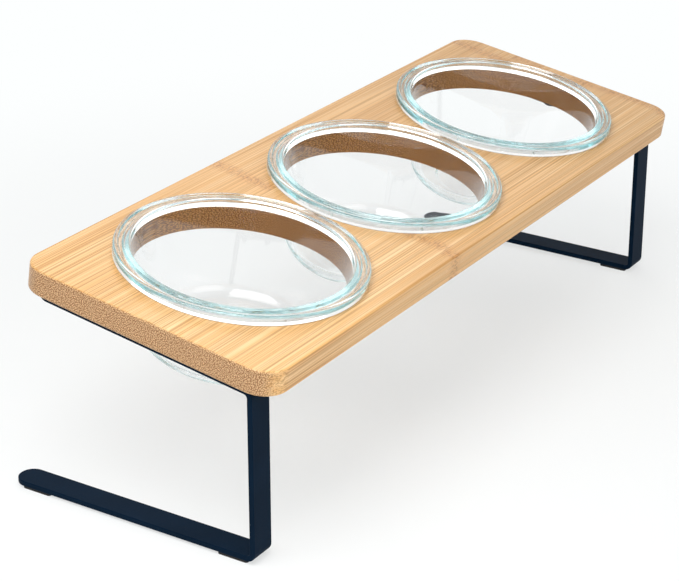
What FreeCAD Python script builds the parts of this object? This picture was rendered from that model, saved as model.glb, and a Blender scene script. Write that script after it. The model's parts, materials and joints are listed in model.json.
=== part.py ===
import FreeCAD, Part
import os
import re

import Sketcher

# A sloping bamboo board on two bent flat-bar legs, with three glass bowls that lift out of it.
# Millimetres. +X runs along the board to the right, -Y is the low front edge and +Z is up.
# The origin lies on the floor, under the middle of the feeder's outline.

SIZES = {
    # Glass bowls
    "body_radius": 60.0,  # outside of a bowl just under its rim
    "bowl_wall": 3.5,  # thickness of the side, measured level
    "bowl_floor": 4.0,  # thickness of the floor
    "bowl_depth": 50.0,  # from the top of the board down to the base
    "wall_lean": 12.0,  # how far the side leans in from the rim to the base
    "base_round": 12.0,  # outside corner between side and base
    "floor_round": 9.0,  # inside corner between side and floor
    "foot_ring": 6.0,  # flat ring of the base that a bowl stands on
    "recess_depth": 0.8,  # shallow hollow inside that ring
    "recess_slope": 1.6,  # width of the hollow's sloping edge
    "rim_height": 5.5,  # height of the rim above the board
    "rim_round": 1.9,  # outer upper edge of the rim
    "rim_ease": 0.6,  # outer lower edge of the rim
    "lip_round": 1.4,  # inner upper edge of the rim
    "bead_width": 2.4,  # raised bead between the groove and the outside of the rim
    "groove_width": 1.6,  # floor of the shallow ring in the top of the rim
    "groove_depth": 0.8,
    "crest_round": 0.4,  # both edges of the groove
    "flange_seat": 5.5,  # width of the rim that rests on the board
    "hole_clearance": 1.0,  # room between a bowl and its hole
    "bowl_gap": 7.0,  # room between two neighbouring rims
    # Bamboo board
    "board_thickness": 14.0,
    "board_tilt": 9.2,  # degrees, high at the back
    "side_margin": 10.5,  # wood outside the rims, front and back
    "corner_round": 15.0,
    "edge_round": 1.2,
    "hole_round": 0.6,
    # Bent flat-bar legs
    "bar_width": 15.0,
    "bar_thickness": 3.0,
    "bar_ease": 0.4,
    "bend_radius": 2.0,  # inside of the bends
    "tip_flat": 0.2,  # flat left at the middle of a rounded bar end
    "leg_inset": 3.0,  # from the end of the board to the bar
    "bar_to_hole": 6.0,  # wood between the bar and the nearest hole
    "front_overhang": 12.0,  # board in front of the upright
    "back_overhang": 10.0,  # board behind the end of the top bar
    "upright_height": 94.0,  # from under the foot to the board
    "foot_length": 154.0,  # from the front of the upright to the tip
    # Screws and threaded inserts
    "screw_spacing": 47.0,
    "thread_radius": 2.5,
    "thread_clearance": 0.1,
    "screw_hole_clearance": 0.25,
    "screw_tip_gap": 1.0,  # from the end of a screw to the end of its insert
    "screw_chamfer": 0.6,
    "head_radius": 4.75,
    "head_height": 2.6,
    "head_round": 1.8,
    "socket_radius": 1.75,  # across the corners of the hexagon, halved
    "socket_depth": 1.5,
    "insert_radius": 4.0,
    "insert_clearance": 0.05,
    "insert_cover": 4.5,  # wood left above an insert
    "insert_chamfer": 0.75,
    # Rubber pads
    "pad_thickness": 1.5,
    "pad_length": 18.0,
    "pad_inset": 0.5,  # from the side of the bar to the side of a pad
    "pad_tip_gap": 6.4,  # from the tip of a foot to its rear pad
    "pad_corner": 1.5,
    "pad_ease": 0.3,
}

# Bowls and screws, counted from the middle one
BOWLS = {"left": -1, "middle": 0, "right": 1}
SCREWS = {"front": -1, "middle": 0, "rear": 1}
LEGS = {"left": -1, "right": 1}
NEAR = 1e-4

# Sizes that follow from the ones above
WALL_SLOPE = "(wall_lean / bowl_depth)"
BASE_RADIUS = "(body_radius - wall_lean)"
ROUND_REACH = f"(base_round * (sqrt(1 + {WALL_SLOPE} * {WALL_SLOPE}) - {WALL_SLOPE}))"
RECESS_EDGE = f"({BASE_RADIUS} - {ROUND_REACH} - foot_ring)"
INNER_RADIUS = "(body_radius - bowl_wall)"
HOLE_RADIUS = "(body_radius + hole_clearance)"
RIM_RADIUS = f"({HOLE_RADIUS} + flange_seat)"
BOWL_PITCH = f"(2 * {RIM_RADIUS} + bowl_gap)"
LEG_X = f"({BOWL_PITCH} + {HOLE_RADIUS} + bar_to_hole + bar_width / 2)"
HALF_LENGTH = f"({LEG_X} + bar_width / 2 + leg_inset)"
HALF_WIDTH = f"({RIM_RADIUS} + side_margin)"
INSERT_LENGTH = "(board_thickness - insert_cover)"

# The top bar along the slope, from the middle of the board
BAR_FRONT = f"(front_overhang - {HALF_WIDTH})"
BAR_BACK = f"({HALF_WIDTH} - back_overhang)"
BAR_MIDDLE = "((front_overhang - back_overhang) / 2)"

# Places over the floor: the front of the uprights, then the middle of the board's underside
EDGE_GAIN = "(edge_round * (cos(board_tilt) + sin(board_tilt) - 1))"
FRONT_REACH = f"(front_overhang * cos(board_tilt) + board_thickness * sin(board_tilt) - {EDGE_GAIN})"
UPRIGHT_Y = f"(({FRONT_REACH} - foot_length) / 2)"
BOARD_Y = f"({UPRIGHT_Y} - {BAR_FRONT} * cos(board_tilt))"
BOARD_Z = f"(pad_thickness + upright_height - {BAR_FRONT} * sin(board_tilt))"


def tied(formula):
    """Turns the names of sizes in a formula into cells of the sheet."""
    return re.sub(r"[a-z]+(?:_[a-z]+)+", r"Sizes.\g<0>", formula)


def value(formula):
    """Works a formula out with the sheet's present numbers."""
    return float(sheet.evalExpression(tied(formula)))


def bind(item, path, formula):
    """Makes a property of an object follow a formula."""
    item.setExpression(path, tied(formula))


def make_sheet():
    """Writes each size into a cell of its own, with its name as the alias."""
    table = doc.addObject("Spreadsheet::Sheet", "Sizes")
    for row, (name, size) in enumerate(SIZES.items(), 1):
        table.set(f"A{row}", name)
        table.set(f"B{row}", str(size))
        table.setAlias(f"B{row}", name)
    doc.recompute()
    return table


def new_body(name):
    """Starts a sub-part whose label names its file."""
    body = doc.addObject("PartDesign::Body", name)
    body.Label = name
    parts.append(body)
    return body


def origin_feature(body, role):
    """Finds a plane or an axis of a body's own origin."""
    return next(item for item in body.Origin.OriginFeatures if item.Role == role)


def new_sketch(body, name, plane):
    """Starts a sketch on one of the body's own origin planes."""
    sketch = body.newObject("Sketcher::SketchObject", name)
    sketch.AttachmentSupport = [(origin_feature(body, plane), "")]
    sketch.MapMode = "FlatFace"
    return sketch


def pin_point(sketch, item, spot, across, up):
    """Holds a point of a sketch at two formulas, measured from the sketch's origin."""
    for kind, formula in (("DistanceX", across), ("DistanceY", up)):
        rule = sketch.addConstraint(Sketcher.Constraint(kind, -1, 1, item, spot, value(formula)))
        bind(sketch, f"Constraints[{rule}]", formula)


def draw_outline(sketch, corners):
    """Draws a closed outline of straight lines between corners given as formulas."""
    points = [FreeCAD.Vector(value(across), value(up), 0) for across, up in corners]
    for start, end in zip(points, points[1:] + points[:1]):
        sketch.addGeometry(Part.LineSegment(start, end), False)
    for line in range(len(points)):
        following = (line + 1) % len(points)
        sketch.addConstraint(Sketcher.Constraint("Coincident", line, 2, following, 1))
    for line, (across, up) in enumerate(corners):
        pin_point(sketch, line, 1, across, up)


def draw_circle(sketch, across, up, radius):
    """Draws a circle whose centre and radius are formulas."""
    centre = FreeCAD.Vector(value(across), value(up), 0)
    circle = sketch.addGeometry(Part.Circle(centre, FreeCAD.Vector(0, 0, 1), value(radius)), False)
    pin_point(sketch, circle, 3, across, up)
    rule = sketch.addConstraint(Sketcher.Constraint("Radius", circle, value(radius)))
    bind(sketch, f"Constraints[{rule}]", radius)


def rectangle(half_across, half_up):
    """Gives the corners of a rectangle round the sketch's origin."""
    signs = ((-1, -1), (1, -1), (1, 1), (-1, 1))
    return [(f"{across} * {half_across}", f"{up} * {half_up}") for across, up in signs]


def add_pad(body, name, sketch, length, side="One side"):
    """Raises a sketch into a solid."""
    pad = body.newObject("PartDesign::Pad", name)
    pad.Profile = sketch
    pad.SideType = side
    bind(pad, "Length", length)
    doc.recompute()
    return pad


def add_pocket(body, name, sketch, length, upwards):
    """Cuts a sketch into the solid, and makes sure that it took something away."""
    before = body.Shape.Volume
    pocket = body.newObject("PartDesign::Pocket", name)
    pocket.Profile = sketch
    pocket.Reversed = upwards
    bind(pocket, "Length", length)
    doc.recompute()
    if body.Shape.Volume > before - NEAR:
        raise RuntimeError(f"{body.Label}: {name} cuts nothing")
    return pocket


def add_row(body, name, pocket, axis, spacing, count):
    """Repeats a cut along one of the body's axes."""
    row = body.newObject("PartDesign::LinearPattern", name)
    row.Originals = [pocket]
    row.Direction = (origin_feature(body, axis), [""])
    row.Occurrences = count
    bind(row, "Length", f"{count - 1} * {spacing}")
    body.Tip = row
    doc.recompute()


def add_turning(body, name, corners):
    """Turns a half section, given as radius and height, about the body's Z axis."""
    sketch = new_sketch(body, f"{name}_section", "XZ_Plane")
    draw_outline(sketch, corners)
    turning = body.newObject("PartDesign::Revolution", name)
    turning.Profile = sketch
    turning.ReferenceAxis = (sketch, ["V_Axis"])
    turning.Angle = 360
    doc.recompute()


def round_edges(body, name, chosen, radius):
    """Rounds the edges that a test picks out."""
    base = body.Tip
    names = [f"Edge{spot}" for spot, edge in enumerate(base.Shape.Edges, 1) if chosen(edge)]
    if not names:
        raise RuntimeError(f"{body.Label}: no edge for {name}")
    fillet = body.newObject("PartDesign::Fillet", name)
    fillet.Base = (base, names)
    bind(fillet, "Radius", radius)
    doc.recompute()


def circle_at(radius, height):
    """Picks full circles by their radius and height."""
    size, level = value(radius), value(height)

    def test(edge):
        if not edge.isClosed():
            return False
        return abs(edge.Curve.Radius - size) < NEAR and abs(edge.Curve.Center.z - level) < NEAR

    return test


def upright_edge(edge):
    """Picks straight edges that run along Z."""
    low, high = edge.BoundBox.ZMin, edge.BoundBox.ZMax
    return abs(high - low - edge.Length) < NEAR


def side_corners(*corners):
    """Picks edges that run between two of these corners, or along X through one of them."""
    places = [(value(across), value(up)) for across, up in corners]

    def test(edge):
        ends = [vertex.Point for vertex in edge.Vertexes]
        if len(ends) < 2:
            return False
        return all(
            any(abs(end.y - across) < NEAR and abs(end.z - up) < NEAR for across, up in places)
            for end in ends
        )

    return test


def through_edge(edge):
    """Picks the short straight edges that cross the bar's thickness."""
    return edge.BoundBox.XLength < NEAR and abs(edge.Length - value("bar_thickness")) < NEAR


def put(body, across, ahead, up, tilt):
    """Places a sub-part over the floor, turned about X by a tilt in degrees."""
    turn = FreeCAD.Rotation(FreeCAD.Vector(1, 0, 0), value(tilt))
    body.Placement = FreeCAD.Placement(FreeCAD.Vector(), turn)
    places = {"Base.x": across, "Base.y": ahead, "Base.z": up, "Rotation.Angle": tilt}
    for path, formula in places.items():
        bind(body, f"Placement.{path}", formula)


def put_on_slope(body, across, along, above):
    """Places a sub-part by its distance along the slope and above the board's underside."""
    ahead = f"{BOARD_Y} + ({along}) * cos(board_tilt) - ({above}) * sin(board_tilt)"
    up = f"{BOARD_Z} + ({along}) * sin(board_tilt) + ({above}) * cos(board_tilt)"
    put(body, across, ahead, up, "board_tilt")


def screw_along(step):
    """Gives the place of a screw along the slope."""
    return f"{BAR_MIDDLE} + {step} * screw_spacing"


def make_board():
    """Bamboo board with three through holes for the bowls and blind holes for the inserts."""
    board = new_body("bamboo_board")
    plan = new_sketch(board, "board_plan", "XY_Plane")
    draw_outline(plan, rectangle(HALF_LENGTH, HALF_WIDTH))
    add_pad(board, "slab", plan, "board_thickness")
    round_edges(board, "corners", upright_edge, "corner_round")
    hole = new_sketch(board, "bowl_hole_plan", "XY_Plane")
    draw_circle(hole, f"-{BOWL_PITCH}", "0", HOLE_RADIUS)
    first = add_pocket(board, "bowl_hole", hole, "2 * board_thickness", True)
    add_row(board, "bowl_holes", first, "X_Axis", BOWL_PITCH, len(BOWLS))
    bores = new_sketch(board, "insert_bore_plan", "XY_Plane")
    for side in LEGS.values():
        for step in SCREWS.values():
            draw_circle(bores, f"{side} * {LEG_X}", screw_along(step), "insert_radius + insert_clearance")
    add_pocket(board, "insert_bores", bores, INSERT_LENGTH, True)
    levels = ("0", "board_thickness")
    rims = [circle_at(HOLE_RADIUS, level) for level in levels]
    round_edges(board, "hole_edges", lambda edge: any(rim(edge) for rim in rims), "hole_round")
    heights = [value(level) for level in levels]

    def outer_edge(edge):
        level = any(abs(edge.BoundBox.ZMin - z) + abs(edge.BoundBox.ZMax - z) < NEAR for z in heights)
        return level and not edge.isClosed()

    round_edges(board, "outer_edges", outer_edge, "edge_round")
    put_on_slope(board, "0", "0", "0")


def make_bowl(side, step):
    """Pressed glass bowl: leaning side, flat base with a shallow hollow, and a grooved rim."""
    bowl = new_body(f"bowl_{side}")
    base = "-bowl_depth"
    floor = "bowl_floor - bowl_depth"
    mouth = f"({INNER_RADIUS} + {WALL_SLOPE} * rim_height)"
    floor_radius = f"({INNER_RADIUS} - {WALL_SLOPE} * (bowl_depth - bowl_floor))"
    bead = f"({RIM_RADIUS} - bead_width)"
    groove_out = f"({bead} - groove_depth)"
    groove_in = f"({groove_out} - groove_width)"
    lip = f"({groove_in} - groove_depth)"
    groove_level = "rim_height - groove_depth"
    section = [
        ("0", f"{base} + recess_depth"),
        (f"{RECESS_EDGE} - recess_slope", f"{base} + recess_depth"),
        (RECESS_EDGE, base),
        (BASE_RADIUS, base),
        ("body_radius", "0"),
        (RIM_RADIUS, "0"),
        (RIM_RADIUS, "rim_height"),
        (bead, "rim_height"),
        (groove_out, groove_level),
        (groove_in, groove_level),
        (lip, "rim_height"),
        (mouth, "rim_height"),
        (floor_radius, floor),
        ("0", floor),
    ]
    add_turning(bowl, "glass", section)
    round_edges(bowl, "base_corner", circle_at(BASE_RADIUS, base), "base_round")
    round_edges(bowl, "floor_corner", circle_at(floor_radius, floor), "floor_round")
    round_edges(bowl, "rim_top", circle_at(RIM_RADIUS, "rim_height"), "rim_round")
    round_edges(bowl, "rim_foot", circle_at(RIM_RADIUS, "0"), "rim_ease")
    round_edges(bowl, "lip_edge", circle_at(mouth, "rim_height"), "lip_round")
    crests = [circle_at(radius, "rim_height") for radius in (bead, lip)]
    round_edges(bowl, "groove_crests", lambda edge: any(crest(edge) for crest in crests), "crest_round")
    put_on_slope(bowl, f"{step} * {BOWL_PITCH}", "0", "board_thickness")


def level_point(ahead, up):
    """Gives a point of the leg's side view, level with the floor, from the corner under the board."""
    along = f"{BAR_FRONT} + ({ahead}) * cos(board_tilt) + ({up}) * sin(board_tilt)"
    above = f"({up}) * cos(board_tilt) - ({ahead}) * sin(board_tilt)"
    return along, above


def make_leg(side, sign):
    """Flat bar bent twice: a bar under the board, an upright near the front and a foot."""
    leg = new_body(f"leg_{side}")
    inner_drop = "-bar_thickness * (1 - sin(board_tilt)) / cos(board_tilt)"
    shoulder = level_point("0", "0")
    bar_end = (BAR_BACK, "0")
    bar_end_low = (BAR_BACK, "-bar_thickness")
    armpit = level_point("bar_thickness", inner_drop)
    instep = level_point("bar_thickness", "bar_thickness - upright_height")
    tip = level_point("foot_length", "bar_thickness - upright_height")
    tip_low = level_point("foot_length", "-upright_height")
    heel = level_point("0", "-upright_height")
    view = new_sketch(leg, "side_view", "YZ_Plane")
    draw_outline(view, [shoulder, bar_end, bar_end_low, armpit, instep, tip, tip_low, heel])
    add_pad(leg, "bar", view, "bar_width", "Symmetric")
    inner_bends = [side_corners(armpit), side_corners(instep)]
    outer_bends = [side_corners(shoulder), side_corners(heel)]
    round_edges(leg, "inside_bends", lambda edge: any(bend(edge) for bend in inner_bends), "bend_radius")
    outside = "bend_radius + bar_thickness"
    round_edges(leg, "outside_bends", lambda edge: any(bend(edge) for bend in outer_bends), outside)
    ends = (side_corners(bar_end, bar_end_low), side_corners(tip, tip_low))

    def end_corner(edge):
        straight_across = edge.BoundBox.XLength > NEAR
        return not straight_across and any(end(edge) for end in ends)

    round_edges(leg, "rounded_ends", end_corner, "(bar_width - tip_flat) / 2")
    half_bar = value("bar_width / 2")

    def long_edge(edge):
        on_side = any(abs(abs(vertex.Point.x) - half_bar) < NEAR for vertex in edge.Vertexes)
        return on_side and not through_edge(edge)

    round_edges(leg, "eased_edges", long_edge, "bar_ease")
    hole = new_sketch(leg, "screw_hole_plan", "XY_Plane")
    draw_circle(hole, "0", screw_along(SCREWS["front"]), "thread_radius + screw_hole_clearance")
    first = add_pocket(leg, "screw_hole", hole, "2 * bar_thickness", False)
    add_row(leg, "screw_holes", first, "Y_Axis", "screw_spacing", len(SCREWS))
    put_on_slope(leg, f"{sign} * {LEG_X}", "0", "0")


def make_screw(side, sign, spot, step):
    """Button-head screw with a hexagon socket, driven up through the bar into its insert."""
    screw = new_body(f"screw_{side}_{spot}")
    shank = "thread_radius - thread_clearance"
    length = f"bar_thickness + {INSERT_LENGTH} - screw_tip_gap"
    section = [
        ("0", "-head_height"),
        ("head_radius", "-head_height"),
        ("head_radius", "0"),
        (shank, "0"),
        (shank, f"{length} - screw_chamfer"),
        (f"{shank} - screw_chamfer", length),
        ("0", length),
    ]
    add_turning(screw, "blank", section)
    round_edges(screw, "button", circle_at("head_radius", "-head_height"), "head_round")
    socket = new_sketch(screw, "socket_plan", "XY_Plane")
    socket.AttachmentOffset = FreeCAD.Placement(FreeCAD.Vector(0, 0, -1), FreeCAD.Rotation())
    bind(socket, "AttachmentOffset.Base.z", "-head_height")
    turns = range(0, 360, 60)
    hexagon = [(f"socket_radius * cos({turn})", f"socket_radius * sin({turn})") for turn in turns]
    draw_outline(socket, hexagon)
    add_pocket(screw, "socket", socket, "socket_depth", True)
    put_on_slope(screw, f"{sign} * {LEG_X}", screw_along(step), "-bar_thickness")


def make_insert(side, sign, spot, step):
    """Threaded insert: a brass tube set into the underside of the board."""
    insert = new_body(f"insert_{side}_{spot}")
    section = [
        ("thread_radius", "0"),
        ("insert_radius", "0"),
        ("insert_radius", f"{INSERT_LENGTH} - insert_chamfer"),
        ("insert_radius - insert_chamfer", INSERT_LENGTH),
        ("thread_radius", INSERT_LENGTH),
    ]
    add_turning(insert, "tube", section)
    put_on_slope(insert, f"{sign} * {LEG_X}", screw_along(step), "0")


def make_pad(side, sign, spot, middle):
    """Thin rubber pad under a foot."""
    pad = new_body(f"pad_{side}_{spot}")
    plan = new_sketch(pad, "pad_plan", "XY_Plane")
    draw_outline(plan, rectangle("(bar_width / 2 - pad_inset)", "pad_length / 2"))
    add_pad(pad, "block", plan, "pad_thickness")
    round_edges(pad, "corners", upright_edge, "pad_corner")
    round_edges(pad, "tread_edge", lambda edge: edge.BoundBox.ZMax < NEAR, "pad_ease")
    put(pad, f"{sign} * {LEG_X}", middle, "0", "0")


def check(body):
    """Stops the build if a sub-part failed, is empty or isn't one sound solid."""
    for item in [body] + body.Group:
        if "Invalid" in item.State or "Error" in item.State:
            raise RuntimeError(f"{body.Label}: {item.Name} is {item.State}")
    shape = body.Shape
    if shape.isNull() or not shape.isValid() or len(shape.Solids) != 1:
        raise RuntimeError(f"{body.Label} isn't one valid solid")
    return shape


parts = []
doc = FreeCAD.newDocument("elevated_cat_feeder")
sheet = make_sheet()
make_board()
for side, step in BOWLS.items():
    make_bowl(side, step)
front_pad = f"{UPRIGHT_Y} + bend_radius + bar_thickness + pad_length / 2"
rear_pad = f"{UPRIGHT_Y} + foot_length - pad_tip_gap - pad_length / 2"
for side, sign in LEGS.items():
    make_leg(side, sign)
    for spot, step in SCREWS.items():
        make_screw(side, sign, spot, step)
        make_insert(side, sign, spot, step)
    make_pad(side, sign, "front", front_pad)
    make_pad(side, sign, "rear", rear_pad)
doc.recompute()

shapes = {body.Label: check(body) for body in parts}
os.makedirs("parts", exist_ok=True)
for name, shape in shapes.items():
    shape.exportStep(f"parts/{name}.step")
    print(f"{name}: {shape.Volume / 1000:.2f} cm3")
whole = Part.makeCompound(list(shapes.values())).optimalBoundingBox(True, False)
print(f"whole: {whole.XLength:.2f} x {whole.YLength:.2f} x {whole.ZLength:.2f} mm")
print(f"middle of the outline: {whole.Center.x:.3f}, {whole.Center.y:.3f}, lowest point {whole.ZMin:.3f}")
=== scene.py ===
# %% [markdown]
# # An elevated cat feeder
#
# The real thing is a bamboo board that slopes down to the front, two legs bent from flat steel bar,
# and three glass bowls that hang by their rims in round holes of the board. The solids come from a
# CAD model that is already to size, so this lesson moves nothing. It gives each surface its finish,
# makes the bowls as fine turned meshes, and sets up a bright studio round them.
#
# One unit here is one metre. X runs along the board, -Y is the low front edge and Z is up.

# %% Load the CAD model
import json
import math

import bpy
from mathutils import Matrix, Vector


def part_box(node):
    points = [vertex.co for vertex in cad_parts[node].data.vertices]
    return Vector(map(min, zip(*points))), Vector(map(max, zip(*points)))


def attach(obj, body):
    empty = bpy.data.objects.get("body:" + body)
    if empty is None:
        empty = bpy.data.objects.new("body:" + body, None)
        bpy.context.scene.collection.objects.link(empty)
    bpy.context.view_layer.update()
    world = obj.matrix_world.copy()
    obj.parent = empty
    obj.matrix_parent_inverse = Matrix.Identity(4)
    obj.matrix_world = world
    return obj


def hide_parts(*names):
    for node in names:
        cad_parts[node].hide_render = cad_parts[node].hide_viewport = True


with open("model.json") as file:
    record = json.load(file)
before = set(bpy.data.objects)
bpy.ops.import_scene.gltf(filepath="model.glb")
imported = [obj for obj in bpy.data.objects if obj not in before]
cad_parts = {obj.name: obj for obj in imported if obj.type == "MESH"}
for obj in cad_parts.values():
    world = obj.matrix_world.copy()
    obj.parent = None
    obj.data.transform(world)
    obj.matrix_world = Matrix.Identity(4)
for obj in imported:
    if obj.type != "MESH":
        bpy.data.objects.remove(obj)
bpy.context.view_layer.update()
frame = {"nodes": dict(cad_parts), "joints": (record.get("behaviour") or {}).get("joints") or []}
MM = 0.001

# %% [markdown]
# ## Three small helpers
#
# Colours are easiest to pick as sRGB hex values, the way a screen shows them, but shaders count in
# linear light, so one function turns the first into the second. Another adds a node to any tree. Its
# inputs can be plain values, sockets or whole nodes, and it makes the links itself. The third starts
# a material with an empty tree.

# %% Colour and node helpers


def linear(code):
    """Turns an sRGB hex colour such as "e8c48c" into linear RGBA."""
    levels = [int(code[i : i + 2], 16) / 255 for i in (0, 2, 4)]
    light = [
        level / 12.92 if level <= 0.04045 else ((level + 0.055) / 1.055) ** 2.4 for level in levels
    ]
    return (*light, 1.0)


def add(tree, kind, inputs=None, **settings):
    """Adds a node with its settings. Inputs go by name or number and take values or links."""
    node = tree.nodes.new(kind)
    for name, value in settings.items():
        setattr(node, name, value)
    for key, value in (inputs or {}).items():
        named = [socket for socket in node.inputs if socket.enabled and socket.name == key]
        target = named[0] if named else node.inputs[key]
        if isinstance(value, bpy.types.Node):
            value = next(socket for socket in value.outputs if socket.enabled)
        if isinstance(value, bpy.types.NodeSocket):
            tree.links.new(value, target)
        else:
            target.default_value = value
    return node


def start_material(name):
    """Gives a new material and its empty node tree."""
    material = bpy.data.materials.new(name)
    material.use_nodes = True
    material.node_tree.nodes.clear()
    return material, material.node_tree


print("honey in linear light:", [round(x, 3) for x in linear("e8c48c")[:3]])

# %% [markdown]
# ## Where the board lies
#
# The bowls lift out square to the board, so the axis of the first lifting joint is the board's
# normal, and the tilt follows from it. The board is a block tilted about X, so the middle of its
# box is the middle of the block. Patterns on the board are measured from there, along its slope.

# %% Read the slope from the frame
BOARD_THICKNESS = 14 * MM
lift = Vector(frame["joints"][0]["axis"]).normalized()
tilt = math.atan2(-lift.y, lift.z)
low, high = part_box("bamboo_board")
board_middle = (low + high) / 2
board_top = board_middle + lift * BOARD_THICKNESS / 2
print(f"tilt {math.degrees(tilt):.2f} degrees, top of the board at {board_top.z / MM:.1f} mm")

# %% [markdown]
# ## Laminated bamboo
#
# The board is glued from strips of bamboo, sanded and given a satin lacquer. Bamboo has no growth
# rings. Its wood is pale, with thousands of darker fibre bundles that run along the stem: they show
# as fine lines on the long faces and as speckles on the cut ends, which soak up more lacquer and so
# are browner. At each knuckle of the stem the bundles cross over and leave a row of short flecks.
#
# A picture of wood would need unwrapping and would not match round the edges. A solid pattern, worked
# out from the place inside the board, runs on from face to face by itself, so that is used here. All
# lengths below are in millimetres, along the board, across its slope and through its thickness.

# %% Bamboo strips
STRIP_WIDTH = 21.0
STRIP_START = 0.31
STRIP_SHIFT = 400.0
GLUE_LINE = 0.3

bamboo, wood = start_material("laminated_bamboo_satin_lacquer")
place = add(wood, "ShaderNodeTexCoord")
local = add(
    wood,
    "ShaderNodeMapping",
    {
        "Vector": place.outputs["Object"],
        "Location": board_middle,
        "Rotation": (tilt, 0, 0),
        "Scale": (MM, MM, MM),
    },
    vector_type="TEXTURE",
)
spot = add(wood, "ShaderNodeSeparateXYZ", {"Vector": local})

# Each strip gets a number, and from it a tint and a start of its own along the stem
widths = add(wood, "ShaderNodeMath", {0: spot.outputs["Y"], 1: STRIP_WIDTH}, operation="DIVIDE")
across = add(wood, "ShaderNodeMath", {0: widths, 1: STRIP_START}, operation="ADD")
strip = add(wood, "ShaderNodeMath", {0: across}, operation="FLOOR")
chance = add(wood, "ShaderNodeTexWhiteNoise", {"W": strip}, noise_dimensions="1D").outputs["Value"]
shift = add(wood, "ShaderNodeMath", {0: chance, 1: STRIP_SHIFT}, operation="MULTIPLY")
along_stem = add(wood, "ShaderNodeCombineXYZ", {"X": shift})
moved = add(wood, "ShaderNodeVectorMath", {0: local, 1: along_stem}, operation="ADD")

# The glue line is where two strips meet, half a width from the middle of either
in_strip = add(wood, "ShaderNodeMath", {0: across}, operation="FRACT")
aside = add(wood, "ShaderNodeMath", {0: in_strip, 1: 0.5}, operation="SUBTRACT")
off_middle = add(wood, "ShaderNodeMath", {0: aside}, operation="ABSOLUTE")
glue = add(
    wood,
    "ShaderNodeMapRange",
    {"Value": off_middle, "From Min": 0.5 - GLUE_LINE / STRIP_WIDTH, "From Max": 0.5},
    interpolation_type="SMOOTHSTEP",
)
print("strips of", STRIP_WIDTH, "mm")

# %% [markdown]
# The grain is noise drawn out along the stem: a fine one for the single fibre bundles, a wider one for
# bands of tone and a broad one for clouds. A bundle is a few tenths of a millimetre wide, which would
# melt away at this distance, so the lines are drawn somewhat wider than they are. Short dashes, for
# the knuckles, come from the same recipe.

# %% Bamboo grain
# Size along, across and through in mm, detail, and the noise at which the tone starts and is full
GRAIN = {
    "fibres": ((240.0, 0.5, 0.5), 1.0, 0.46, 0.6),
    "bands": ((200.0, 2.6, 2.6), 2.0, 0.32, 0.68),
    "clouds": ((210.0, 34.0, 34.0), 2.0, 0.35, 0.7),
    "dashes": ((2.6, 0.7, 1.2), 1.0, 0.5, 0.6),
}

grain = {}
for name, (size, detail, start, full) in GRAIN.items():
    stretched = add(wood, "ShaderNodeVectorMath", {0: moved, 1: size}, operation="DIVIDE")
    noise = add(
        wood, "ShaderNodeTexNoise", {"Vector": stretched, "Scale": 1.0, "Detail": detail}
    )
    grain[name] = add(
        wood,
        "ShaderNodeMapRange",
        {"Value": noise.outputs["Fac"], "From Min": start, "From Max": full},
        interpolation_type="SMOOTHSTEP",
    )
    print(name, size, "mm")

# %% [markdown]
# Knuckles come at a steady spacing along the stem, a little out of step from strip to strip. A
# wrapped coordinate repeats them, and the short dashes break each row into flecks.

# %% Bamboo knuckles
KNUCKLE_SPACING = 269.0
KNUCKLE_START = -54.0
KNUCKLE_REACH = 8.0
KNUCKLE_STAGGER = 14.0

out_of_step = add(
    wood,
    "ShaderNodeMapRange",
    {"Value": chance, "To Min": -KNUCKLE_STAGGER / 2, "To Max": KNUCKLE_STAGGER / 2},
)
stem = add(wood, "ShaderNodeMath", {0: spot.outputs["X"], 1: out_of_step}, operation="ADD")
from_knuckle = add(wood, "ShaderNodeMath", {0: stem, 1: KNUCKLE_START}, operation="SUBTRACT")
half = KNUCKLE_SPACING / 2
nearest = add(wood, "ShaderNodeMath", {0: from_knuckle, 1: half, 2: -half}, operation="WRAP")
distance = add(wood, "ShaderNodeMath", {0: nearest}, operation="ABSOLUTE")
knuckle = add(
    wood,
    "ShaderNodeMapRange",
    {"Value": distance, "From Min": KNUCKLE_REACH, "From Max": 0.0},
    interpolation_type="SMOOTHSTEP",
)
flecks = add(wood, "ShaderNodeMath", {0: knuckle, 1: grain["dashes"]}, operation="MULTIPLY")
print("knuckles every", KNUCKLE_SPACING, "mm")

# %% [markdown]
# A cut end faces along the stem, so the X part of the normal tells how much of the end grain shows.
# That also holds all round the bowl holes, where the wall turns slowly from end grain to long grain.
# The specks are worked out in the plane of the cut, so each runs straight on along the stem. Real
# ones lie about half a millimetre apart. These are somewhat coarser, to show at this distance.

# %% Bamboo end grain
END_GRAIN_START = 0.35
END_GRAIN_FULL = 0.95
END_GRAIN_SHARE = 0.9
SPECK_PITCH = 0.75
SPECK_EDGE = 0.5
SPECK_CORE = 0.1
SPECK_SCATTER = 0.75

normal = place.outputs["Normal"]
facing = add(wood, "ShaderNodeSeparateXYZ", {"Vector": normal})
square_on = add(wood, "ShaderNodeMath", {0: facing.outputs["X"]}, operation="ABSOLUTE")
end_grain = add(
    wood,
    "ShaderNodeMapRange",
    {
        "Value": square_on,
        "From Min": END_GRAIN_START,
        "From Max": END_GRAIN_FULL,
        "To Max": END_GRAIN_SHARE,
    },
    interpolation_type="SMOOTHSTEP",
)
cut_place = add(wood, "ShaderNodeCombineXYZ", {"X": spot.outputs["Y"], "Y": spot.outputs["Z"]})
speck_cells = add(
    wood,
    "ShaderNodeTexVoronoi",
    {"Vector": cut_place, "Scale": 1 / SPECK_PITCH, "Randomness": SPECK_SCATTER},
    voronoi_dimensions="2D",
)
specks = add(
    wood,
    "ShaderNodeMapRange",
    {"Value": speck_cells.outputs["Distance"], "From Min": SPECK_EDGE, "From Max": SPECK_CORE},
    interpolation_type="SMOOTHSTEP",
)
print("specks every", SPECK_PITCH, "mm")

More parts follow.
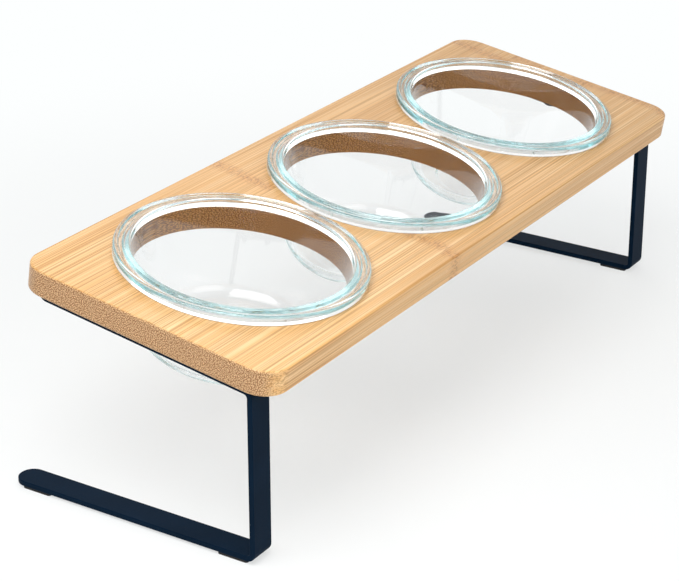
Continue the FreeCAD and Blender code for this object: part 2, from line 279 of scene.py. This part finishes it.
# %% [markdown]
# The walls of the bowl holes lie in shade, and that shade is painted into them as browner, more
# saturated specks.
# Those walls are found as the faces that stand upright on the board and lie inside its outer edge.

# %% Painted shade on the hole walls
# How much painted shade, as browner specks, the upright hole walls take
HOLE_SHADE_SHARE = 0.75
INNER_HALF_LENGTH = 212.0
INNER_HALF_WIDTH = 66.0

upright = add(wood, "ShaderNodeVectorMath", {0: normal, 1: lift}, operation="DOT_PRODUCT")
flatness = add(wood, "ShaderNodeMath", {0: upright.outputs["Value"]}, operation="ABSOLUTE")
painted_hole_shade = add(wood, "ShaderNodeMath", {0: HOLE_SHADE_SHARE, 1: flatness}, operation="SUBTRACT", use_clamp=True)
for axis, limit in (("X", INNER_HALF_LENGTH), ("Y", INNER_HALF_WIDTH)):
    offset = add(wood, "ShaderNodeMath", {0: spot.outputs[axis]}, operation="ABSOLUTE")
    within = add(wood, "ShaderNodeMath", {0: offset, 1: limit}, operation="LESS_THAN")
    painted_hole_shade = add(wood, "ShaderNodeMath", {0: painted_hole_shade, 1: within}, operation="MULTIPLY")
print("browned inside", 2 * INNER_HALF_LENGTH, "x", 2 * INNER_HALF_WIDTH, "mm")

# %% [markdown]
# Now the layers are stacked: bands and clouds of tone first, then the tint of each strip, fibres,
# knuckles, flecks and glue, and last the specks of the cut ends and the painted shade of the hole
# walls.

# %% Bamboo colour
# What shows, how strongly at most, and its colour, from the bottom layer up
LAYERS = [
    (grain["bands"], 1.0, "e9b775"),
    (grain["clouds"], 0.5, "dea863"),
    (chance, 0.35, "daa058"),
    (grain["fibres"], 0.7, "b27c3c"),
    (knuckle, 0.35, "cf8f4c"),
    (flecks, 0.55, "8f5a2b"),
    (glue, 0.45, "9a6a3a"),
]
PALE_WOOD = "f3cd95"
CUT_END = (end_grain, "83552c", "f0c898")
# The browner, more saturated specks on the hole walls are painted shade
PAINTED_HOLE_SHADE = (painted_hole_shade, "8f480a", "fcbc68")

tone = linear(PALE_WOOD)
for layer, most, colour in LAYERS:
    share = add(wood, "ShaderNodeMath", {0: layer, 1: most}, operation="MULTIPLY")
    mixed = {"Factor": share, "A": tone, "B": linear(colour)}
    tone = add(wood, "ShaderNodeMix", mixed, data_type="RGBA")
for share, dark, pale in (CUT_END, PAINTED_HOLE_SHADE):
    speckled = {"Factor": specks, "A": linear(dark), "B": linear(pale)}
    cut = add(wood, "ShaderNodeMix", speckled, data_type="RGBA")
    tone = add(wood, "ShaderNodeMix", {"Factor": share, "A": tone, "B": cut}, data_type="RGBA")
print("layers of tone:", len(LAYERS) + 2)

# %% [markdown]
# The lacquer is a satin one, a little duller and a hair lower where a fibre bundle comes to the
# surface.

# %% Satin lacquer
SATIN = 0.3
DULL = 0.42
GRAIN_RELIEF = 0.2
GRAIN_DEPTH = 0.1

fibres = grain["fibres"]
dullness = add(wood, "ShaderNodeMapRange", {"Value": fibres, "To Min": SATIN, "To Max": DULL})
open_grain = add(
    wood,
    "ShaderNodeBump",
    {"Strength": GRAIN_RELIEF, "Distance": GRAIN_DEPTH * MM, "Height": fibres},
    invert=True,
)
lacquer = add(
    wood,
    "ShaderNodeBsdfPrincipled",
    {"Base Color": tone, "Roughness": dullness, "Normal": open_grain},
)
add(wood, "ShaderNodeOutputMaterial", {"Surface": lacquer})
print("bamboo nodes:", len(wood.nodes))

# %% [markdown]
# ## Clear pressed glass
#
# The bowls are soda-lime glass, pressed in a mould and fire-polished. It is clear from the front, but
# a long way through it, as along the rim, its iron shows as a cool green-blue. That colour belongs to
# the inside, so it is an absorbing volume and not a surface tint: thick places turn green by
# themselves. A tinted, half transparent surface would be quicker to render, but thin and thick places
# would look alike. The shadow of real glass is bright, and here it is too, because the lamps are wide
# enough for bent light to find its way to them. Moulded glass is never quite flat, and a very shallow,
# wide bump gives its highlights their slight wander.

# %% Glass
GLASS_IOR = 1.52
GLASS_DENSITY = 7.0
RIPPLE_SIZE = 18.0
RIPPLE_RELIEF = 0.15
RIPPLE_DEPTH = 0.3

glass, pane = start_material("pressed_soda_lime_glass")
glass_place = add(pane, "ShaderNodeTexCoord")
ripple = add(
    pane,
    "ShaderNodeTexNoise",
    {"Vector": glass_place.outputs["Object"], "Scale": 1 / (RIPPLE_SIZE * MM), "Detail": 1.0},
)
wander = add(
    pane,
    "ShaderNodeBump",
    {
        "Strength": RIPPLE_RELIEF,
        "Distance": RIPPLE_DEPTH * MM,
        "Height": ripple.outputs["Fac"],
    },
)
clear = add(
    pane,
    "ShaderNodeBsdfPrincipled",
    {
        "Base Color": linear("ffffff"),
        "Roughness": 0.0,
        "IOR": GLASS_IOR,
        "Transmission Weight": 1.0,
        "Normal": wander,
    },
)
iron = add(
    pane,
    "ShaderNodeVolumeAbsorption",
    {"Color": linear("a8dde2"), "Density": GLASS_DENSITY},
)
add(pane, "ShaderNodeOutputMaterial", {"Surface": clear, "Volume": iron})
print("glass:", glass.name)

# %% [markdown]
# ## Turning the bowls
#
# A bowl is the same all round, so its whole shape is one half section swept round a circle. Spinning
# edges in edit mode would do, but a node tree keeps the sizes open: the section is a curve with sharp
# corners whose point radius says how round each corner is, Fillet Curve rounds them, and Curve to Mesh
# sweeps the section round a ring. The corners are those of the CAD solid. The rim hangs a hair above
# the wood, because two faces in one plane would flicker.

# %% Section of a bowl
BODY_RADIUS = 60.0
WALL = 3.5
FLOOR = 4.0
DEPTH = 50.0
LEAN = 12.0
RIM_RADIUS = 66.5
RIM_HEIGHT = 5.5
BEAD = 2.4
GROOVE = 1.6
GROOVE_DEPTH = 0.8
FOOT_RING = 6.0
RECESS_DEPTH = 0.8
RECESS_SLOPE = 1.6
BASE_ROUND = 12.0
FLOOR_ROUND = 9.0
RIM_ROUND = 1.9
RIM_EASE = 0.6
LIP_ROUND = 1.4
CREST_ROUND = 0.4
FOOT_ROUND = 0.5
REST_GAP = 0.05

slope = LEAN / DEPTH
base = BODY_RADIUS - LEAN
recess = base - BASE_ROUND * (math.hypot(1, slope) - slope) - FOOT_RING
inner = BODY_RADIUS - WALL
bead = RIM_RADIUS - BEAD
groove_out = bead - GROOVE_DEPTH
groove_in = groove_out - GROOVE
lip = groove_in - GROOVE_DEPTH
floor_level = FLOOR - DEPTH

# Radius, height and corner round, from the middle of the floor, up the inside and down the outside
SECTION = [
    (0, floor_level, 0),
    (inner + slope * floor_level, floor_level, FLOOR_ROUND),
    (inner + slope * RIM_HEIGHT, RIM_HEIGHT, LIP_ROUND),
    (lip, RIM_HEIGHT, CREST_ROUND),
    (groove_in, RIM_HEIGHT - GROOVE_DEPTH, CREST_ROUND),
    (groove_out, RIM_HEIGHT - GROOVE_DEPTH, CREST_ROUND),
    (bead, RIM_HEIGHT, CREST_ROUND),
    (RIM_RADIUS, RIM_HEIGHT, RIM_ROUND),
    (RIM_RADIUS, REST_GAP, RIM_EASE),
    (BODY_RADIUS, REST_GAP, RIM_EASE),
    (base, -DEPTH, BASE_ROUND),
    (recess, -DEPTH, FOOT_ROUND),
    (recess - RECESS_SLOPE, RECESS_DEPTH - DEPTH, FOOT_ROUND),
    (0, RECESS_DEPTH - DEPTH, 0),
]


def draw_section():
    """Draws the half section as a curve beside the ring that it is swept round."""
    curve = bpy.data.curves.new("bowl_section", "CURVE")
    spline = curve.splines.new("POLY")
    spline.points.add(len(SECTION) - 1)
    for point, (radius, height, corner) in zip(spline.points, SECTION):
        point.co = ((radius - RIM_RADIUS) * MM, -height * MM, 0, 1)
        point.radius = corner * MM
    section = bpy.data.objects.new("bowl_section", curve)
    bpy.context.scene.collection.objects.link(section)
    return section


section = draw_section()
print("corners in the section:", len(SECTION))

# %% [markdown]
# The tree takes the section, the ring's radius, the number of steps and the place as named inputs, so
# one tree makes all three bowls. Where the section ends on the axis, the sweep leaves a bunch of
# points in one place, and Merge by Distance makes one of them.

# %% Node tree that turns a section
RING_STEPS = 192
CORNER_STEPS = 9
WELD = 0.001


def make_turning():
    """Builds the tree and returns it with the identifiers of its inputs."""
    tree = bpy.data.node_groups.new("turned_bowl", "GeometryNodeTree")
    tree.interface.new_socket("Geometry", in_out="OUTPUT", socket_type="NodeSocketGeometry")
    kinds = {
        "Section": "Object",
        "Ring Radius": "Float",
        "Ring Steps": "Int",
        "Corner Steps": "Int",
        "Weld": "Float",
        "Place": "Vector",
        "Turn": "Rotation",
        "Glass": "Material",
    }
    keys = {}
    for name, kind in kinds.items():
        socket = tree.interface.new_socket(name, in_out="INPUT", socket_type=f"NodeSocket{kind}")
        keys[name] = socket.identifier
    given = add(tree, "NodeGroupInput").outputs
    shape = add(tree, "GeometryNodeObjectInfo", {"Object": given["Section"]})
    rounded = add(
        tree,
        "GeometryNodeFilletCurve",
        {
            "Curve": shape.outputs["Geometry"],
            "Count": given["Corner Steps"],
            "Radius": add(tree, "GeometryNodeInputRadius"),
            "Limit Radius": True,
        },
        mode="POLY",
    )
    ring = add(
        tree,
        "GeometryNodeCurvePrimitiveCircle",
        {"Resolution": given["Ring Steps"], "Radius": given["Ring Radius"]},
    )
    sweep = add(
        tree,
        "GeometryNodeCurveToMesh",
        {"Curve": ring.outputs["Curve"], "Profile Curve": rounded},
    )
    welded = add(
        tree,
        "GeometryNodeMergeByDistance",
        {"Geometry": sweep, "Distance": given["Weld"]},
    )
    smooth = add(tree, "GeometryNodeSetShadeSmooth", {"Geometry": welded})
    placed = add(
        tree,
        "GeometryNodeTransform",
        {"Geometry": smooth, "Translation": given["Place"], "Rotation": given["Turn"]},
    )
    real = add(tree, "GeometryNodeRealizeInstances", {"Geometry": placed})
    glazed = add(tree, "GeometryNodeSetMaterial", {"Geometry": real, "Material": given["Glass"]})
    add(tree, "NodeGroupOutput", {"Geometry": glazed})
    return tree, keys


turning, turning_keys = make_turning()
print("inputs of the turning tree:", ", ".join(turning_keys))

# %% [markdown]
# Each bowl is made on a throw-away object. The inputs are set by their identifiers before it is first
# evaluated, a weighted normal keeps the wide flat faces truly flat beside their rounded edges, and
# the result is taken as a plain mesh. Its middle comes from the box of the CAD bowl that it replaces.

# %% Turn three bowls


def turn_bowl(node):
    """Makes the fine mesh of one bowl in its place and returns its object."""
    left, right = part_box(node)
    middle = Vector(((left.x + right.x) / 2, board_top.y, board_top.z))
    blank = bpy.data.objects.new("blank", bpy.data.meshes.new("blank"))
    bpy.context.scene.collection.objects.link(blank)
    turned = blank.modifiers.new("turning", "NODES")
    turned.node_group = turning
    values = {
        "Section": section,
        "Ring Radius": RIM_RADIUS * MM,
        "Ring Steps": RING_STEPS,
        "Corner Steps": CORNER_STEPS,
        "Weld": WELD * MM,
        "Place": middle,
        "Turn": (tilt, 0, 0),
        "Glass": glass,
    }
    for name, value in values.items():
        turned[turning_keys[name]] = value
    weighted = blank.modifiers.new("flat faces stay flat", "WEIGHTED_NORMAL")
    weighted.keep_sharp = True
    seen = bpy.context.evaluated_depsgraph_get()
    mesh = bpy.data.meshes.new_from_object(blank.evaluated_get(seen), depsgraph=seen)
    bpy.data.objects.remove(blank)
    bowl = bpy.data.objects.new(f"glass_{node}", mesh)
    bpy.context.scene.collection.objects.link(bowl)
    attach(bowl, node)
    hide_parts(node)
    return bowl


bowls = [turn_bowl(f"bowl_{side}") for side in ("left", "middle", "right")]
bpy.data.objects.remove(section)
for bowl in bowls:
    print(bowl.name, "faces:", len(bowl.data.polygons))

# %% [markdown]
# ## Powder-coated steel
#
# The legs are mild steel bar, sprayed with a blue-black powder and baked. The coat melts into a skin
# with a fine orange peel, so highlights are broad and soft. The peel is about half a millimetre wide.
# At this distance that would vanish, so it is drawn twice as coarse.

# %% Powder coat
PEEL_SIZE = 1.0
MOTTLE_SIZE = 30.0
PEEL_RELIEF = 0.12
PEEL_DEPTH = 0.1
COAT_SHINY = 0.42
COAT_DULL = 0.58
COAT_SPECULAR = 0.03

powder_coat, coat = start_material("powder_coated_steel_blue_black")
coat_place = add(coat, "ShaderNodeTexCoord").outputs["Object"]
mottle = add(
    coat,
    "ShaderNodeTexNoise",
    {"Vector": coat_place, "Scale": 1 / (MOTTLE_SIZE * MM), "Detail": 3.0},
).outputs["Fac"]
peel = add(
    coat,
    "ShaderNodeTexNoise",
    {"Vector": coat_place, "Scale": 1 / (PEEL_SIZE * MM), "Detail": 2.0},
).outputs["Fac"]
coat_tone = add(
    coat,
    "ShaderNodeMix",
    {"Factor": mottle, "A": linear("051625"), "B": linear("0a2136")},
    data_type="RGBA",
)
coat_shine = add(
    coat, "ShaderNodeMapRange", {"Value": peel, "To Min": COAT_SHINY, "To Max": COAT_DULL}
)
coat_peel = add(
    coat,
    "ShaderNodeBump",
    {"Strength": PEEL_RELIEF, "Distance": PEEL_DEPTH * MM, "Height": peel},
)
skin = add(
    coat,
    "ShaderNodeBsdfPrincipled",
    {
        "Base Color": coat_tone,
        "Roughness": coat_shine,
        "Specular IOR Level": COAT_SPECULAR,
        "Normal": coat_peel,
    },
)
add(coat, "ShaderNodeOutputMaterial", {"Surface": skin})
print("legs:", powder_coat.name)

# %% [markdown]
# ## Rubber, black steel and brass
#
# The pads under the feet are die-cut from sheet rubber: very dark, matt, with a fine leather-like
# tooth from the press. The screws are steel with a black oxide, a thin dark layer that still shines
# like metal. The threaded inserts are turned brass, with fine rings left by the tool.

# %% Sheet rubber
TOOTH_SIZE = 0.8
TOOTH_RELIEF = 0.3
TOOTH_DEPTH = 0.1
RUBBER_ROUGHNESS = 0.8

rubber, sheet = start_material("die_cut_sheet_rubber")
sheet_place = add(sheet, "ShaderNodeTexCoord").outputs["Object"]
tooth = add(
    sheet, "ShaderNodeTexVoronoi", {"Vector": sheet_place, "Scale": 1 / (TOOTH_SIZE * MM)}
).outputs["Distance"]
sheet_tone = add(
    sheet,
    "ShaderNodeMix",
    {"Factor": tooth, "A": linear("0f0f10"), "B": linear("1a1a1b")},
    data_type="RGBA",
)
pressed = add(
    sheet,
    "ShaderNodeBump",
    {"Strength": TOOTH_RELIEF, "Distance": TOOTH_DEPTH * MM, "Height": tooth},
)
matt = add(
    sheet,
    "ShaderNodeBsdfPrincipled",
    {"Base Color": sheet_tone, "Roughness": RUBBER_ROUGHNESS, "Normal": pressed},
)
add(sheet, "ShaderNodeOutputMaterial", {"Surface": matt})
print("pads:", rubber.name)

# %% Black oxide steel
OXIDE_SIZE = 1.5
OXIDE_SHINY = 0.28
OXIDE_DULL = 0.45

black_oxide, oxide = start_material("black_oxide_steel")
oxide_place = add(oxide, "ShaderNodeTexCoord").outputs["Object"]
patch = add(
    oxide,
    "ShaderNodeTexNoise",
    {"Vector": oxide_place, "Scale": 1 / (OXIDE_SIZE * MM), "Detail": 3.0},
).outputs["Fac"]
oxide_tone = add(
    oxide,
    "ShaderNodeMix",
    {"Factor": patch, "A": linear("2a2a2d"), "B": linear("46464a")},
    data_type="RGBA",
)
oxide_shine = add(
    oxide, "ShaderNodeMapRange", {"Value": patch, "To Min": OXIDE_SHINY, "To Max": OXIDE_DULL}
)
steel = add(
    oxide,
    "ShaderNodeBsdfPrincipled",
    {"Base Color": oxide_tone, "Metallic": 1.0, "Roughness": oxide_shine},
)
add(oxide, "ShaderNodeOutputMaterial", {"Surface": steel})
print("screws:", black_oxide.name)

# %% Turned brass
RING_PITCH = 0.5
BRASS_ROUGHNESS = 0.3
# A wave texture turns through 20 radians in one unit
WAVES_PER_UNIT = 20 / (2 * math.pi)

brass, lathe = start_material("turned_brass")
lathe_place = add(lathe, "ShaderNodeTexCoord").outputs["Object"]
rings = add(
    lathe,
    "ShaderNodeTexWave",
    {"Vector": lathe_place, "Scale": 1 / (RING_PITCH * MM * WAVES_PER_UNIT)},
    bands_direction="Z",
)
brass_tone = add(
    lathe,
    "ShaderNodeMix",
    {"Factor": rings.outputs["Fac"], "A": linear("c9a45a"), "B": linear("dcbb74")},
    data_type="RGBA",
)
yellow_metal = add(
    lathe,
    "ShaderNodeBsdfPrincipled",
    {"Base Color": brass_tone, "Metallic": 1.0, "Roughness": BRASS_ROUGHNESS},
)
add(lathe, "ShaderNodeOutputMaterial", {"Surface": yellow_metal})
print("inserts:", brass.name)

# %% [markdown]
# ## Dressing the CAD pieces
#
# The board, the legs and the small parts already have the right shape, so they keep their CAD meshes
# and only take a new material each. The names of the nodes say which finish belongs where.

# %% Dress the CAD pieces
finishes = {
    "bamboo_board": bamboo,
    "leg_": powder_coat,
    "pad_": rubber,
    "screw_": black_oxide,
    "insert_": brass,
}
for start, finish in finishes.items():
    dressed = [piece for name, piece in frame["nodes"].items() if name.startswith(start)]
    for piece in dressed:
        piece.data.materials.clear()
        piece.data.materials.append(finish)
    print(finish.name, "on", len(dressed))

# %% [markdown]
# ## A white studio
#
# Product pictures stand on a white sweep, lit by a wide soft box overhead. The floor here is plain
# pale paint. To the camera, and in mirrors and glass, part of its brightness is its own, so that it
# reads as white while the object is lit at a plain level and still drops a soft shadow. That share
# grows with the distance, as on a sweep with a lamp of its own at the back.

# %% Floor
FLOOR_SIZE = 12.0
FLOOR_DROP = 0.05 * MM
GLOW_NEAR = 0.52
GLOW_FAR = 1.0
GLOW_START = 0.05
GLOW_END = 0.6
PAINT_ROUGHNESS = 0.9
PAINT_SPECULAR = 0.1


def seen_directly(tree):
    """Gives 1 to the camera, straight or by a mirror or glass, and 0 to light that falls on things."""
    path = add(tree, "ShaderNodeLightPath")
    share = path.outputs["Is Camera Ray"]
    for kind in ("Is Glossy Ray", "Is Transmission Ray"):
        share = add(tree, "ShaderNodeMath", {0: share, 1: path.outputs[kind]}, operation="MAXIMUM")
    matt_turns = path.outputs["Diffuse Depth"]
    none = add(tree, "ShaderNodeMath", {0: matt_turns, 1: 0.5}, operation="LESS_THAN")
    return add(tree, "ShaderNodeMath", {0: share, 1: none}, operation="MULTIPLY")


white_paint, paint = start_material("matt_white_paint")
floor_place = add(paint, "ShaderNodeTexCoord").outputs["Object"]
away = add(paint, "ShaderNodeVectorMath", {0: floor_place}, operation="LENGTH")
glow_share = add(
    paint,
    "ShaderNodeMapRange",
    {
        "Value": away.outputs["Value"],
        "From Min": GLOW_START,
        "From Max": GLOW_END,
        "To Min": GLOW_NEAR,
        "To Max": GLOW_FAR,
    },
    interpolation_type="SMOOTHSTEP",
)
share = add(
    paint, "ShaderNodeMath", {0: seen_directly(paint), 1: glow_share}, operation="MULTIPLY"
)
painted = add(
    paint,
    "ShaderNodeBsdfPrincipled",
    {
        "Base Color": linear("f6f7f7"),
        "Roughness": PAINT_ROUGHNESS,
        "Specular IOR Level": PAINT_SPECULAR,
    },
)
glow = add(paint, "ShaderNodeEmission", {"Color": linear("fdffff"), "Strength": 1.0})
both = add(paint, "ShaderNodeMixShader", {0: share, 1: painted, 2: glow})
add(paint, "ShaderNodeOutputMaterial", {"Surface": both})

reach = FLOOR_SIZE / 2
floor_mesh = bpy.data.meshes.new("studio_floor")
sides = ((-reach, -reach), (reach, -reach), (reach, reach), (-reach, reach))
floor_mesh.from_pydata([(x, y, -FLOOR_DROP) for x, y in sides], [], [(0, 1, 2, 3)])
floor_mesh.materials.append(white_paint)
floor = bpy.data.objects.new("studio_floor", floor_mesh)
bpy.context.scene.collection.objects.link(floor)
print("floor", FLOOR_SIZE, "m wide")

# %% [markdown]
# Light also comes from all round, as from white walls. The camera, mirrors and glass see these walls as
# white, and above them a darker ceiling. Clear glass has no look of its own: it shows what it bends and
# mirrors, and all in white it would be lost, so the ceiling gives the rims their fine grey lines.

# %% Surroundings
SKY_LIGHT = 0.42
CEILING = 0.3
CEILING_START = 0.5
CEILING_FULL = 0.9

studio = bpy.data.worlds.new("studio")
studio.use_nodes = True
studio.node_tree.nodes.clear()
bpy.context.scene.world = studio
air = studio.node_tree
direction = add(air, "ShaderNodeTexCoord").outputs["Generated"]
up = add(air, "ShaderNodeSeparateXYZ", {"Vector": direction})
ceiling = add(
    air,
    "ShaderNodeMapRange",
    {
        "Value": up.outputs["Z"],
        "From Min": CEILING_START,
        "From Max": CEILING_FULL,
        "To Min": 1.0,
        "To Max": CEILING,
    },
    interpolation_type="SMOOTHSTEP",
)
brightness = add(
    air,
    "ShaderNodeMapRange",
    {"Value": seen_directly(air), "To Min": SKY_LIGHT, "To Max": ceiling},
)
walls = {"Color": linear("ffffff"), "Strength": brightness}
backdrop = add(air, "ShaderNodeBackground", walls)
add(air, "ShaderNodeOutputWorld", {"Surface": backdrop})
print("light from all round:", SKY_LIGHT)

# %% [markdown]
# The soft box is a square lamp above the board's left end, so the board is brightest there and falls
# off to the right. A weak lamp behind the right end is mirrored in the lacquer as a pale sheen, and
# another at the front left lights the front edge and the walls of the holes.
#
# Light that enters the rim of a bowl runs on inside the wall and is thrown to and fro many dozen times
# before it comes out. The renderer gives up after a dozen turns at most, which leaves black bands in
# the rims, so it is told to follow the light further.

# %% Lamps
GLASS_TURNS = 128
# Place and aim in metres, width in metres, power in watts
LAMPS = {
    "soft_box": ((-0.55, -0.1, 0.75), (-0.35, 0, 0.1), 0.6, 6.0),
    "sheen_lamp": ((0.74, 0.41, 0.93), (-0.2, 0, 0.13), 0.7, 1.7),
    "front_fill": ((-0.5, -1.35, 0.6), (0.1, 0, 0.1), 0.9, 4.5),
}


def add_lamp(name, place, aim, width, power):
    """Adds a square soft lamp that looks at a point."""
    lamp = bpy.data.lights.new(name, "AREA")
    lamp.size = width
    lamp.energy = power
    holder = bpy.data.objects.new(name, lamp)
    holder.location = place
    line = Vector(aim) - Vector(place)
    holder.rotation_euler = line.to_track_quat("-Z", "Y").to_euler()
    bpy.context.scene.collection.objects.link(holder)
    print(name, power, "W")


for name, setting in LAMPS.items():
    add_lamp(name, *setting)
bpy.context.scene.view_settings.view_transform = "Standard"
bpy.context.scene.cycles.max_bounces = GLASS_TURNS
bpy.context.scene.cycles.glossy_bounces = GLASS_TURNS
bpy.context.scene.cycles.transmission_bounces = GLASS_TURNS

# %% [markdown]
# ## The camera
#
# The picture is taken from the front left, with a long lens from about 1.2 m, so the lines along the
# board draw together only a little. The lens is given by its distance in pixels from a frame 679 wide.

# %% Camera
CAMERA_PLACE = (-962.1, -588.3, 547.6)
CAMERA_AZIMUTH = -57.632
CAMERA_ELEVATION = 23.872
LENS_PIXELS = 2136.7
FRAME_PIXELS = 679

camera = bpy.data.cameras.new("camera")
camera.sensor_fit = "HORIZONTAL"
camera.lens = camera.sensor_width * LENS_PIXELS / FRAME_PIXELS
eye = bpy.data.objects.new("camera", camera)
eye.location = Vector(CAMERA_PLACE) * MM
eye.rotation_euler = (math.radians(90 - CAMERA_ELEVATION), 0, math.radians(CAMERA_AZIMUTH))
bpy.context.scene.collection.objects.link(eye)
bpy.context.scene.camera = eye
print(f"lens {camera.lens:.1f} mm")
